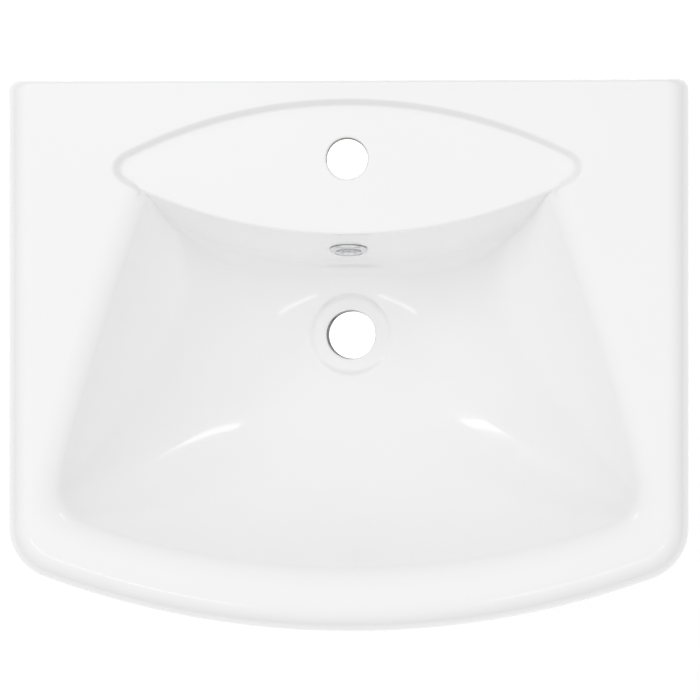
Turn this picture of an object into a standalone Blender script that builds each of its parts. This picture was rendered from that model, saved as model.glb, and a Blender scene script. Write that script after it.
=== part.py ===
"""Pedestal wash basin: ceramic basin and pedestal with their wall and floor fixings.

Metres, +Z up. The origin is on the floor under the middle of the basin's plan.
-Y is the front, +Y is the wall side, and the basin is symmetric about X = 0.
"""

import math

import bmesh
import bpy
from mathutils import Vector

# Basin, overall
RIM_HEIGHT = 0.850  # rim above the floor
BASIN_WIDTH = 0.580
BASIN_DEPTH = 0.470
BASIN_HEIGHT = 0.200  # rim to the foot of the waste boss
SHELL = 0.009  # ceramic wall
DECK = 0.013  # thickness of the deck under the tap
FRONT_ARC = 0.755  # plan radius of the front edge
FRONT_CORNER = 0.0465
BACK_CORNER = 0.009

# Basin, rim and outside
ROLL_SIDE = 0.022  # width of the rounded outer edge, seen from above
ROLL_FRONT = 0.026
ROLL_BACK = 0.005
ROLL_DROP = 0.024
ROLL_CORNER = 0.6  # share of the side roll that the front corners lose at the flat
ROLL_TURNS = (0, 22, 45, 67, 90)
APRON = 0.060  # rim to the underside of the apron
APRON_EDGE = 0.009  # rounding under the apron
BELLY_POWER = 1.25  # 1 makes the belly a straight slope
BELLY_SHARES = (0.0, 0.12, 0.28, 0.45, 0.62, 0.80, 1.0)
BELLY_WALL = 1.4  # level wall of the sloping belly, in shells
ROOM_STEP = 0.010  # the room under the deck closes in at the top over this height
ROOM_SHARE = 0.45  # how much of the roll it follows below the step

# Bowl
BOWL_RIM_FRONT = 0.048  # front edge to bowl
BOWL_RIM_SIDE = 0.070  # side edge to bowl, level with the waste
BOWL_TAPER = 0.294  # how much the sides close in for each metre towards the wall
BOWL_DEPTH = 0.132
BOWL_BACK = 0.137  # waste to the line behind the tap ledge
BOWL_ROUND = 9.0  # exponent that rounds the bowl's corners
BOWL_SHARES = (1.0, 0.93, 0.84, 0.74, 0.62, 0.50, 0.36, 0.20)  # of the reach, level by level
WASTE_FROM_BACK = 0.216
WASTE_BORE = 0.044
WASTE_RECESS = 0.070
WASTE_BOSS = 0.084

# Tap ledge, a leaf outline between two arcs
LEAF_ARC = 0.418
LEAF_TIP_ROUND = 0.013
LEAF_REAR_FROM_BACK = 0.0206
LEAF_FRONT_FROM_BACK = 0.132
LEAF_DROP = 0.006
LEDGE_WALL_RUN = 0.023  # how far the wall under the ledge leans forward
LEDGE_WALL_DROP = 0.115
TAP_BORE = 0.035
TAP_FROM_BACK = 0.068
PAD_MORE = 0.002  # the thicker pad under the tap sinks this far before its face is cut flat

# Overflow
OVERFLOW_DEPTH = 0.057  # below the rim
OVERFLOW_BORE = 0.026
OVERFLOW_FLANGE = 0.033
OVERFLOW_FLANGE_THICK = 0.0025
OVERFLOW_WALL = 0.002
OVERFLOW_SLEEVE = 0.009
OVERFLOW_EDGE = 0.0012  # chamfer round the flange
OVERFLOW_LIP = 0.0008  # chamfer at the bore
OVERFLOW_LIP_RUN = 0.0005
CHANNEL_WIDTH = 0.030
CHANNEL_GAP = 0.012
CHANNEL_WALL = 0.008
CHANNEL_ABOVE_FOOT = 0.042  # channel floor above the foot of the waste boss

# Pedestal
PEDESTAL_WALL = 0.010
PEDESTAL_WAIST = 0.090  # half width at its narrowest
PEDESTAL_FRONT = 0.088  # front face ahead of the origin at the waist
PEDESTAL_REAR = 0.150  # rear edges behind the origin
FOOT_FLARE = 0.030
FOOT_FLARE_HEIGHT = 0.055
HEAD_FLARE = 0.020
HEAD_FLARE_POWER = 5.0
FLARE_FRONT = 0.8  # share of both flares that the front face gets
PEDESTAL_RETURN = 0.060  # half width of the open back
REAR_CORNER = 0.018
PEDESTAL_CORNER = 0.052
PEDESTAL_ARC_MORE = 0.035  # front arc radius beyond the half width
GASKET = 0.003
GASKET_INSET = 0.0009  # strip inside both faces of the pedestal's wall
SEAT_MARGIN = 0.010  # basin underside beyond the pedestal's head

# Wall fixings
STUD = 0.010
STUD_SPACING = 0.280
STUD_DROP = 0.085  # below the rim
STUD_REACH = 0.033  # beyond the basin's inner wall
SLEEVE_WALL = 0.0025
SLEEVE_FLANGE = 0.026
SLEEVE_FLANGE_THICK = 0.003
WASHER_THICK = 0.002
WASHER_WIDTH = 0.021
NUT_THICK = 0.008
NUT_ACROSS = 0.017
STUD_CHAMFER = 0.001
CAP_WALL = 0.0015
CAP_SAG = 0.9  # share of the wall left where the crown starts to fall
NUT_CAP_FLAT = 0.45  # shares of the radius where the crown falls and bends down
NUT_CAP_BEND = 0.8
SCREW_CAP_FLAT = 0.5
SCREW_CAP_BEND = 0.85
SCREW_CAP_SHOULDER = 0.4

# Floor fixings
SCREW = 0.006
SCREW_HEAD = 0.012
SCREW_HEAD_THICK = 0.004
SCREW_HEAD_CURVE = ((0.6, 0.0003), (0.9, 0.0015))  # share of the radius, drop from the crown
SCREW_HEAD_RIM = 0.0005
LUG_THICK = 0.018
LUG_WIDTH = 0.044
LUG_FROM_REAR = 0.034  # screw ahead of the pedestal's rear edge
LUG_INSET = 0.034  # screw inside the foot's outer face
FLOOR_SLEEVE_WALL = 0.002
FLOOR_SLEEVE_FLANGE = 0.019
FLOOR_SLEEVE_FLANGE_THICK = 0.002

GAP = 0.0003  # between pieces that touch

# Worked out from the sizes above
HALF_WIDTH = BASIN_WIDTH / 2
BACK = BASIN_DEPTH / 2
FRONT = -BASIN_DEPTH / 2
ARC_CENTRE = FRONT + FRONT_ARC
WASTE_Y = BACK - WASTE_FROM_BACK
TAP_Y = BACK - TAP_FROM_BACK
BASIN_BOTTOM = RIM_HEIGHT - BASIN_HEIGHT
BOWL_FLOOR = RIM_HEIGHT - BOWL_DEPTH
SEAT_Z = BOWL_FLOOR - 2 * SHELL
PEDESTAL_HEIGHT = SEAT_Z - GASKET - 2 * GAP
APRON_Z = RIM_HEIGHT - APRON
LEDGE_Z = RIM_HEIGHT - LEAF_DROP
LEAF_REAR = BACK - LEAF_REAR_FROM_BACK
LEAF_FRONT = BACK - LEAF_FRONT_FROM_BACK
LEAF_CENTRE = LEAF_FRONT + LEAF_ARC  # centre of its front arc
LEAF_OFFSET = LEAF_ARC - (LEAF_REAR - LEAF_FRONT) / 2
LEAF_TIP_X = math.sqrt((LEAF_ARC - LEAF_TIP_ROUND) ** 2 - LEAF_OFFSET**2)

ARC_STEPS = 12
BOWL_STEPS = 48
LEDGE_STEPS = 21
LEAF_STEPS = 19
TIP_STEPS = 6
LEVEL_STEPS = 4
REAR_CORNER_STEPS = 4
CORNER_STEPS = 6
BACK_STEPS = 4
ROUND_STEPS = 24
HOLE_STEPS = 32
RECESS_STEPS = 36
PEDESTAL_SHARES = (
    -0.02, 0.0, 0.018, 0.04, 0.07, 0.11, 0.17, 0.26, 0.42, 0.60, 0.75, 0.86, 0.94, 1.0, 1.02
)
SMOOTH_ANGLE = 35
MERGE = 0.00001

CERAMIC = ("ceramic", (0.88, 0.88, 0.88), 0.08, 0.0)
CHROME = ("chrome", (0.80, 0.80, 0.82), 0.08, 1.0)
STEEL = ("zinc_steel", (0.62, 0.63, 0.65), 0.35, 1.0)
NYLON = ("nylon", (0.90, 0.90, 0.88), 0.45, 0.0)
CAP_PLASTIC = ("cap_plastic", (0.92, 0.92, 0.92), 0.30, 0.0)
RUBBER = ("rubber", (0.30, 0.30, 0.31), 0.80, 0.0)


def clear_scene():
    for obj in list(bpy.data.objects):
        bpy.data.objects.remove(obj, do_unlink=True)


def new_collection(name):
    collection = bpy.data.collections.new(name)
    bpy.context.scene.collection.children.link(collection)
    return collection


def material_for(obj, finish):
    """Give the object a Principled material of its own."""
    name, colour, roughness, metallic = finish
    material = bpy.data.materials.new(f"{obj.name}_{name}")
    material.use_nodes = True
    shader = material.node_tree.nodes["Principled BSDF"]
    shader.inputs["Base Color"].default_value = (*colour, 1.0)
    shader.inputs["Roughness"].default_value = roughness
    shader.inputs["Metallic"].default_value = metallic
    obj.data.materials.append(material)


def add_object(name, mesh_builder, collection):
    """Make a mesh object from a bmesh, with its faces pointing out."""
    bmesh.ops.recalc_face_normals(mesh_builder, faces=mesh_builder.faces)
    mesh = bpy.data.meshes.new(name)
    mesh_builder.to_mesh(mesh)
    mesh_builder.free()
    obj = bpy.data.objects.new(name, mesh)
    collection.objects.link(obj)
    return obj


def as_cutter(obj):
    obj.hide_render = True
    obj.display_type = "WIRE"
    return obj


def shade(obj):
    obj.data.shade_smooth()
    obj.data.set_sharp_from_angle(angle=math.radians(SMOOTH_ANGLE))


def boolean(obj, other, operation="DIFFERENCE"):
    modifier = obj.modifiers.new(other.name, "BOOLEAN")
    modifier.operation = operation
    modifier.object = other
    return modifier


def lerp(low, high, share):
    return low + (high - low) * share


def loft(name, rings, collection, closed=True, capped=True):
    """Join rings of points that have the same count, and cap the ends."""
    builder = bmesh.new()
    rows = [[builder.verts.new(point) for point in ring] for ring in rings]
    count = len(rows[0])
    spans = count if closed else count - 1
    for lower, upper in zip(rows, rows[1:]):
        for i in range(spans):
            j = (i + 1) % count
            builder.faces.new((lower[i], lower[j], upper[j], upper[i]))
    if capped:
        builder.faces.new(rows[0])
        builder.faces.new(rows[-1])
    return add_object(name, builder, collection)


def box(name, low, high, collection):
    builder = bmesh.new()
    bmesh.ops.create_cube(builder, size=1.0)
    low, high = Vector(low), Vector(high)
    bmesh.ops.scale(builder, vec=high - low, verts=builder.verts)
    bmesh.ops.translate(builder, vec=(low + high) / 2, verts=builder.verts)
    return add_object(name, builder, collection)


def cylinder(name, diameter, start, end, collection, sides=ROUND_STEPS):
    """A capped cylinder, or a prism with few sides, from start to end."""
    start, end = Vector(start), Vector(end)
    builder = bmesh.new()
    bmesh.ops.create_cone(
        builder,
        cap_ends=True,
        segments=sides,
        radius1=diameter / 2,
        radius2=diameter / 2,
        depth=(end - start).length,
    )
    obj = add_object(name, builder, collection)
    obj.location = (start + end) / 2
    obj.rotation_euler = (end - start).to_track_quat("Z", "Y").to_euler()
    return obj


def turned(name, profile, base, direction, finish, collection):
    """Turn a profile of (radius, height) points about a line through base.

    The points run down the outer side. A profile that starts and ends on the
    axis makes a solid piece, and any other is a loop that makes a ring.
    """
    solid = profile[0][0] == 0 and profile[-1][0] == 0
    builder = bmesh.new()
    points = [builder.verts.new((radius, 0, height)) for radius, height in profile]
    ends = points[1:] if solid else points[1:] + points[:1]
    for first, second in zip(points, ends):
        builder.edges.new((first, second))
    mesh = bpy.data.meshes.new(name)
    builder.to_mesh(mesh)
    builder.free()
    obj = bpy.data.objects.new(name, mesh)
    collection.objects.link(obj)
    screw = obj.modifiers.new("Turn", "SCREW")
    screw.steps = ROUND_STEPS
    screw.render_steps = ROUND_STEPS
    screw.use_merge_vertices = True
    screw.merge_threshold = MERGE
    screw.use_smooth_shade = True
    obj.location = base
    obj.rotation_euler = Vector(direction).to_track_quat("Z", "Y").to_euler()
    material_for(obj, finish)
    return obj


def arc(centre, radius, start, end, steps):
    """Points on an arc, with both ends, at angles in radians."""
    turns = [lerp(start, end, i / steps) for i in range(steps + 1)]
    return [
        (centre[0] + radius * math.cos(turn), centre[1] + radius * math.sin(turn))
        for turn in turns
    ]


def front_half(half_width, front, radius, corner):
    """Right half of a bowed front, from the side line to the middle."""
    middle = front + radius
    run = half_width - corner
    corner_y = middle - math.sqrt((radius - corner) ** 2 - run**2)
    turn = math.atan2(corner_y - middle, run)
    points = arc((run, corner_y), corner, 0, turn, CORNER_STEPS)
    return points + arc((0, middle), radius, turn, -math.pi / 2, ARC_STEPS)[1:]


def plan(half_width, front, back, radius, corner, back_corner=BACK_CORNER):
    """Closed basin outline: flat back, straight sides and a bowed front."""
    right = arc(
        (half_width - back_corner, back - back_corner),
        back_corner,
        math.pi / 2,
        0,
        CORNER_STEPS // 2,
    )
    right += front_half(half_width, front, radius, corner)
    left = [(-x, y) for x, y in reversed(right[:-1])]
    run = half_width - back_corner
    flat = [(lerp(-run, run, i / BACK_STEPS), back) for i in range(1, BACK_STEPS)]
    return right + left + flat


def at_height(points, height):
    return [(x, y, height) for x, y in points]


def pedestal_size(height):
    """Half width and front face of the pedestal at a height."""
    foot = FOOT_FLARE * math.exp(-max(height, 0) / FOOT_FLARE_HEIGHT)
    head = HEAD_FLARE * (max(height, 0) / PEDESTAL_HEIGHT) ** HEAD_FLARE_POWER
    return PEDESTAL_WAIST + foot + head, -(PEDESTAL_FRONT + FLARE_FRONT * (foot + head))


def seat_size():
    half_width, front = pedestal_size(PEDESTAL_HEIGHT)
    return half_width + SEAT_MARGIN, front - SEAT_MARGIN


def belly_section(share):
    """Half width, front, arc, corner and height, from apron (0) to seat (1)."""
    seat_half, seat_front = seat_size()
    return (
        lerp(HALF_WIDTH - APRON_EDGE, seat_half, share),
        lerp(FRONT + APRON_EDGE, seat_front, share),
        lerp(FRONT_ARC - APRON_EDGE, seat_half + PEDESTAL_ARC_MORE, share),
        lerp(FRONT_CORNER, PEDESTAL_CORNER, share),
        APRON_Z - (APRON_Z - SEAT_Z) * share**BELLY_POWER,
    )


def inside_half_length(height, inset):
    """Half length that stays inside the belly and the ledge's tips at a height."""
    drop = min(max((APRON_Z - height) / (APRON_Z - SEAT_Z), 0), 1)
    belly = belly_section(drop ** (1 / BELLY_POWER))[0]
    return min(belly - SHELL, LEAF_TIP_X) - inset



def outer_rings():
    """The basin's outside, from the flat of the rim to the seat underneath."""
    rings = []
    for degrees in ROLL_TURNS:
        turn = math.radians(degrees)
        inset = 1 - math.sin(turn)
        outline = plan(
            HALF_WIDTH - ROLL_SIDE * inset,
            FRONT + ROLL_FRONT * inset,
            BACK - ROLL_BACK * inset,
            FRONT_ARC - ROLL_FRONT * inset,
            FRONT_CORNER - ROLL_SIDE * ROLL_CORNER * inset,
        )
        rings.append(at_height(outline, RIM_HEIGHT - ROLL_DROP * (1 - math.cos(turn))))
    for degrees in (0, 45):
        turn = math.radians(degrees)
        inset = APRON_EDGE * (1 - math.cos(turn))
        outline = plan(
            HALF_WIDTH - inset, FRONT + inset, BACK, FRONT_ARC - inset, FRONT_CORNER
        )
        rings.append(at_height(outline, APRON_Z + APRON_EDGE * (1 - math.sin(turn))))
    for share in BELLY_SHARES:
        half_width, front, radius, corner, height = belly_section(share)
        outline = plan(half_width, front, BACK, radius, corner)
        rings.append(at_height(outline, height))
    return rings


def hollow_rings():
    """The room inside the outer shell, under the deck."""
    side = ROLL_SIDE + SHELL
    front = ROLL_FRONT + SHELL
    rings = []
    deck_foot = RIM_HEIGHT - DECK
    for share, height in ((1.0, deck_foot), (ROOM_SHARE, deck_foot - ROOM_STEP)):
        outline = plan(
            HALF_WIDTH - lerp(SHELL, side, share),
            FRONT + lerp(SHELL, front, share),
            BACK - SHELL,
            FRONT_ARC - lerp(SHELL, front, share),
            FRONT_CORNER - SHELL,
        )
        rings.append(at_height(outline, height))
    for share in BELLY_SHARES[:-1]:
        half_width, belly_front, radius, corner, height = belly_section(share)
        inset = SHELL * BELLY_WALL
        outline = plan(
            half_width - inset, belly_front + inset, BACK - SHELL, radius - inset, corner
        )
        rings.append(at_height(outline, height + SHELL))
    return rings


def bowl_reach(turn):
    """Distance from the waste to the bowl's top edge in one direction."""
    across, along = math.cos(turn), math.sin(turn)
    side = HALF_WIDTH - BOWL_RIM_SIDE
    lines = [
        max(across + BOWL_TAPER * along, 0) / side,
        max(-across + BOWL_TAPER * along, 0) / side,
        max(along, 0) / BOWL_BACK,
    ]
    if along < 0:
        radius = FRONT_ARC - BOWL_RIM_FRONT
        offset = WASTE_Y - ARC_CENTRE
        lines.append(
            1 / (-along * offset + math.sqrt((along * offset) ** 2 - offset**2 + radius**2))
        )
    return sum(line**BOWL_ROUND for line in lines) ** (-1 / BOWL_ROUND)


def bowl_rings(grow=0.0):
    """Level outlines of the bowl, from above the rim down to its floor."""
    turns = [2 * math.pi * i / BOWL_STEPS for i in range(BOWL_STEPS)]
    rings = []
    for share in BOWL_SHARES:
        height = BOWL_FLOOR + BOWL_DEPTH * share**2 - grow
        rings.append(
            [
                (
                    (bowl_reach(turn) * share + grow) * math.cos(turn),
                    WASTE_Y + (bowl_reach(turn) * share + grow) * math.sin(turn),
                    height,
                )
                for turn in turns
            ]
        )
    top = [(x, y, RIM_HEIGHT + DECK) for x, y, _ in rings[0]]
    return [top] + rings


def ledge_radius(height):
    """Plan radius of the wall under the tap ledge at a height."""
    drop = min(max(LEDGE_Z - height, 0) / LEDGE_WALL_DROP, 1)
    return LEAF_ARC + LEDGE_WALL_RUN * drop


def ledge_section(height, half_length, setback, rear):
    """Outline with a bowed front that follows the ledge, and a straight rear."""
    radius = ledge_radius(height) - setback
    reach = math.asin(half_length / radius)
    front = arc(
        (0, LEAF_CENTRE), radius, -math.pi / 2 - reach, -math.pi / 2 + reach, LEDGE_STEPS
    )
    return at_height(front + [(half_length, rear), (-half_length, rear)], height)


def leaf_outline():
    """Two arcs that meet in rounded tips."""
    middle = (LEAF_REAR + LEAF_FRONT) / 2
    turn = math.atan2(LEAF_OFFSET, LEAF_TIP_X)
    points = arc((0, middle - LEAF_OFFSET), LEAF_ARC, turn, math.pi - turn, LEAF_STEPS)
    points += arc(
        (-LEAF_TIP_X, middle), LEAF_TIP_ROUND, math.pi - turn, math.pi + turn, TIP_STEPS
    )[1:-1]
    points += arc(
        (0, middle + LEAF_OFFSET), LEAF_ARC, math.pi + turn, 2 * math.pi - turn, LEAF_STEPS
    )
    return points + arc((LEAF_TIP_X, middle), LEAF_TIP_ROUND, -turn, turn, TIP_STEPS)[1:-1]


def overflow_axis():
    """Middle of the overflow on the wall's face, and the way out of the wall."""
    height = RIM_HEIGHT - OVERFLOW_DEPTH
    place = Vector((0, LEAF_CENTRE - ledge_radius(height), height))
    return place, Vector((0, -LEDGE_WALL_DROP, LEDGE_WALL_RUN)).normalized()


def make_basin(parts, cutters):
    basin = loft("basin", outer_rings(), parts)
    bowl = as_cutter(loft("bowl_space", bowl_rings(), cutters))
    boolean(basin, bowl)

    rear = WASTE_Y + BOWL_BACK + SHELL
    foot = LEDGE_Z - LEDGE_WALL_DROP
    levels = [lerp(LEDGE_Z, foot, i / LEVEL_STEPS) for i in range(LEVEL_STEPS + 1)]
    levels += [lerp(foot, SEAT_Z + SHELL, 0.5), SEAT_Z + SHELL]
    sections = [ledge_section(z, inside_half_length(z, 0), 0, rear) for z in levels]
    ledge = loft("ledge_body", sections, cutters)
    boolean(basin, as_cutter(ledge), "UNION")

    hollow = as_cutter(loft("shell_space", hollow_rings(), cutters))
    bowl_outside = as_cutter(loft("bowl_outside", bowl_rings(SHELL), cutters))
    boolean(hollow, bowl_outside)
    boolean(basin, hollow)

    under_deck = LEDGE_Z - DECK
    pad = [at_height(leaf_outline(), z) for z in (under_deck - PAD_MORE, LEDGE_Z - PAD_MORE)]
    boolean(basin, as_cutter(loft("tap_pad", pad, cutters)), "UNION")

    levels = [lerp(under_deck, foot, i / LEVEL_STEPS) for i in range(LEVEL_STEPS + 1)]
    levels += [lerp(foot, SEAT_Z, 0.5), SEAT_Z, SEAT_Z - 2 * SHELL]
    face = BACK - SHELL - GAP
    sections = [ledge_section(z, inside_half_length(z, SHELL), SHELL, face) for z in levels]
    boolean(basin, as_cutter(loft("rear_space", sections, cutters)))

    boss_top = BOWL_FLOOR - SHELL
    boss = cylinder(
        "waste_boss",
        WASTE_BOSS,
        (0, WASTE_Y, BASIN_BOTTOM),
        (0, WASTE_Y, boss_top),
        cutters,
        sides=HOLE_STEPS,
    )
    boolean(basin, as_cutter(boss), "UNION")

    mouth, outward = overflow_axis()
    channel_front = mouth.y + SHELL
    channel_rear = channel_front + CHANNEL_GAP
    channel_top = mouth.z + OVERFLOW_BORE / 2 + CHANNEL_GAP / 2
    channel_floor = BASIN_BOTTOM + CHANNEL_ABOVE_FOOT
    half = CHANNEL_WIDTH / 2
    outer_half = half + CHANNEL_WALL
    body_rear = channel_rear + CHANNEL_WALL
    body_foot = channel_floor - CHANNEL_WALL
    sections = []
    for z in (body_foot, foot, channel_top + CHANNEL_WALL):
        front = LEAF_CENTRE - ledge_radius(z) + SHELL / 2
        corners = [(-outer_half, front), (outer_half, front)]
        corners += [(outer_half, body_rear), (-outer_half, body_rear)]
        sections.append(at_height(corners, z))
    boolean(basin, as_cutter(loft("channel_body", sections, cutters)), "UNION")
    link = box(
        "channel_link",
        (-outer_half, WASTE_Y + WASTE_BORE / 2 + CHANNEL_WALL, body_foot),
        (outer_half, body_rear - GAP, channel_floor + CHANNEL_GAP + CHANNEL_WALL / 2),
        cutters,
    )
    boolean(basin, as_cutter(link), "UNION")
    down = box(
        "channel_down",
        (-half, channel_front, channel_floor),
        (half, channel_rear, channel_top),
        cutters,
    )
    boolean(basin, as_cutter(down))
    along = box(
        "channel_along",
        (-half, WASTE_Y, channel_floor),
        (half, channel_rear - GAP, channel_floor + CHANNEL_GAP),
        cutters,
    )
    boolean(basin, as_cutter(along))
    overflow = cylinder(
        "overflow_hole",
        OVERFLOW_BORE,
        mouth + outward * SHELL,
        mouth - outward * (SHELL + CHANNEL_GAP / 2),
        cutters,
    )
    boolean(basin, as_cutter(overflow))

    leaf = [at_height(leaf_outline(), z) for z in (LEDGE_Z, RIM_HEIGHT + DECK)]
    boolean(basin, as_cutter(loft("leaf_space", leaf, cutters)))
    tap_hole = cylinder(
        "tap_hole",
        TAP_BORE,
        (0, TAP_Y, under_deck - SHELL),
        (0, TAP_Y, RIM_HEIGHT + DECK),
        cutters,
        sides=HOLE_STEPS,
    )
    boolean(basin, as_cutter(tap_hole))
    recess = cylinder(
        "waste_recess",
        WASTE_RECESS,
        (0, WASTE_Y, BOWL_FLOOR),
        (0, WASTE_Y, BOWL_FLOOR + SHELL),
        cutters,
        sides=RECESS_STEPS,
    )
    boolean(basin, as_cutter(recess))
    waste_hole = cylinder(
        "waste_hole",
        WASTE_BORE,
        (0, WASTE_Y, BASIN_BOTTOM - SHELL),
        (0, WASTE_Y, BOWL_FLOOR + SHELL),
        cutters,
        sides=HOLE_STEPS,
    )
    boolean(basin, as_cutter(waste_hole))
    stud_z = RIM_HEIGHT - STUD_DROP
    for side, sign in (("left", -1), ("right", 1)):
        hole = cylinder(
            f"stud_hole_{side}",
            STUD + 2 * (SLEEVE_WALL + 2 * GAP),
            (sign * STUD_SPACING / 2, BACK - 2 * SHELL, stud_z),
            (sign * STUD_SPACING / 2, BACK + SHELL, stud_z),
            cutters,
        )
        boolean(basin, as_cutter(hole))
    material_for(basin, CERAMIC)
    shade(basin)


def pedestal_outline(height):
    """Open outline of the pedestal's outer face, rear return to rear return."""
    half_width, front = pedestal_size(height)
    right = [(PEDESTAL_RETURN, PEDESTAL_REAR)]
    right += arc(
        (half_width - REAR_CORNER, PEDESTAL_REAR - REAR_CORNER),
        REAR_CORNER,
        math.pi / 2,
        0,
        REAR_CORNER_STEPS,
    )
    right += front_half(half_width, front, half_width + PEDESTAL_ARC_MORE, PEDESTAL_CORNER)
    left = [(-x, y) for x, y in reversed(right[:-1])]
    return right + left


def lug_place(sign):
    half_width, _ = pedestal_size(0)
    return sign * (half_width - LUG_INSET), PEDESTAL_REAR - LUG_FROM_REAR


def face_away(obj):
    """Turn an open shell's faces away from the pedestal's middle."""
    builder = bmesh.new()
    builder.from_mesh(obj.data)
    builder.normal_update()
    face = max(builder.faces, key=lambda item: -item.calc_center_median().y)
    if face.normal.y > 0:
        bmesh.ops.reverse_faces(builder, faces=builder.faces)
    builder.to_mesh(obj.data)
    builder.free()


def make_pedestal(parts, cutters):
    rings = [
        at_height(pedestal_outline(share * PEDESTAL_HEIGHT), share * PEDESTAL_HEIGHT)
        for share in PEDESTAL_SHARES
    ]
    pedestal = loft("pedestal", rings, parts, closed=False, capped=False)
    face_away(pedestal)
    wall = pedestal.modifiers.new("Wall", "SOLIDIFY")
    wall.thickness = PEDESTAL_WALL
    wall.offset = -1
    wall.use_even_offset = True
    for side, sign in (("left", -1), ("right", 1)):
        x, y = lug_place(sign)
        half = LUG_WIDTH / 2
        outer = sign * (pedestal_size(LUG_THICK)[0] - PEDESTAL_WALL / 2)
        inner = x - sign * half
        lug = box(
            f"lug_{side}",
            (min(inner, outer), y - half, -SHELL),
            (max(inner, outer), PEDESTAL_REAR - PEDESTAL_WALL / 2, LUG_THICK),
            cutters,
        )
        boolean(pedestal, as_cutter(lug), "UNION")
        hole = cylinder(
            f"lug_hole_{side}",
            SCREW + 2 * (FLOOR_SLEEVE_WALL + 2 * GAP),
            (x, y, -SHELL),
            (x, y, LUG_THICK + SHELL),
            cutters,
        )
        boolean(pedestal, as_cutter(hole))
    reach = BASIN_WIDTH
    trim = box("trim_space", (-reach, -reach, 0), (reach, reach, PEDESTAL_HEIGHT), cutters)
    boolean(pedestal, as_cutter(trim), "INTERSECT")
    material_for(pedestal, CERAMIC)
    shade(pedestal)


def make_gasket(parts):
    """Sealing strip on the pedestal's head."""
    half_width, front = pedestal_size(PEDESTAL_HEIGHT)
    radius = half_width + PEDESTAL_ARC_MORE
    rows = []
    for inset in (GASKET_INSET, PEDESTAL_WALL - GASKET_INSET):
        right = [(half_width - inset, PEDESTAL_REAR - 2 * REAR_CORNER)]
        right += front_half(
            half_width - inset, front + inset, radius - inset, PEDESTAL_CORNER - inset
        )
        rows.append(right + [(-x, y) for x, y in reversed(right[:-1])])
    outline = rows[0] + rows[1][::-1]
    low = PEDESTAL_HEIGHT + GAP
    rings = [at_height(outline, low), at_height(outline, low + GASKET)]
    gasket = loft("head_gasket", rings, parts)
    material_for(gasket, RUBBER)


def make_overflow_ring(parts):
    mouth, outward = overflow_axis()
    outer = OVERFLOW_FLANGE / 2
    sleeve = OVERFLOW_BORE / 2 - GAP
    bore = sleeve - OVERFLOW_WALL
    thick = OVERFLOW_FLANGE_THICK
    profile = [
        (bore + OVERFLOW_LIP_RUN, thick),
        (outer - OVERFLOW_EDGE, thick),
        (outer, thick - OVERFLOW_EDGE),
        (outer, 0),
        (sleeve, 0),
        (sleeve, -OVERFLOW_SLEEVE),
        (bore, -OVERFLOW_SLEEVE),
        (bore, thick - OVERFLOW_LIP),
    ]
    turned("overflow_ring", profile, mouth + outward * 2 * GAP, outward, CHROME, parts)


def hex_nut(name, across, thick, bore, base, direction, finish, parts, cutters):
    direction = Vector(direction)
    base = Vector(base)
    diameter = across / math.cos(math.pi / 6)
    nut = cylinder(name, diameter, base, base + direction * thick, parts, sides=6)
    hole = cylinder(
        f"{name}_bore", bore, base - direction * thick, base + direction * 2 * thick, cutters
    )
    boolean(nut, as_cutter(hole))
    material_for(nut, finish)
    return nut


def make_wall_fixing(side, sign, parts, cutters):
    """Stud, sleeve, washer, nut and cap, from the wall inwards."""
    x, z = sign * STUD_SPACING / 2, RIM_HEIGHT - STUD_DROP
    inward = (0, -1, 0)
    face = BACK - SHELL  # inner face of the basin's back wall
    stud = STUD / 2
    length = SHELL + STUD_REACH - GAP
    turned(
        f"wall_stud_{side}",
        [
            (0, length),
            (stud - STUD_CHAMFER, length),
            (stud, length - STUD_CHAMFER),
            (stud, 0),
            (0, 0),
        ],
        (x, BACK - GAP, z),
        inward,
        STEEL,
        parts,
    )
    bore, tube = stud + GAP, stud + GAP + SLEEVE_WALL
    flange = SLEEVE_FLANGE / 2
    top = SHELL + SLEEVE_FLANGE_THICK
    turned(
        f"stud_sleeve_{side}",
        [
            (bore, top),
            (flange, top),
            (flange, SHELL + GAP),
            (tube, SHELL + GAP),
            (tube, 0),
            (bore, 0),
        ],
        (x, BACK - GAP, z),
        inward,
        NYLON,
        parts,
    )
    washer = WASHER_WIDTH / 2
    washer_y = face - SLEEVE_FLANGE_THICK - 2 * GAP
    turned(
        f"stud_washer_{side}",
        [(bore, WASHER_THICK), (washer, WASHER_THICK), (washer, 0), (bore, 0)],
        (x, washer_y, z),
        inward,
        STEEL,
        parts,
    )
    nut_y = washer_y - WASHER_THICK - GAP
    hex_nut(
        f"stud_nut_{side}",
        NUT_ACROSS,
        NUT_THICK,
        STUD + 2 * GAP,
        (x, nut_y, z),
        inward,
        STEEL,
        parts,
        cutters,
    )
    inside = NUT_ACROSS / 2 / math.cos(math.pi / 6) + GAP
    outside = inside + CAP_WALL
    depth = STUD_REACH - (face - nut_y) + 2 * CAP_WALL
    turned(
        f"stud_cap_{side}",
        [
            (0, depth + CAP_WALL),
            (outside * NUT_CAP_FLAT, depth + CAP_WALL * CAP_SAG),
            (outside * NUT_CAP_BEND, depth),
            (outside, depth - 2 * CAP_WALL),
            (outside, 0),
            (inside, 0),
            (inside, depth - 2 * CAP_WALL),
            (inside * NUT_CAP_BEND, depth - CAP_WALL),
            (0, depth - CAP_WALL / 2),
        ],
        (x, nut_y, z),
        inward,
        CAP_PLASTIC,
        parts,
    )


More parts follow.
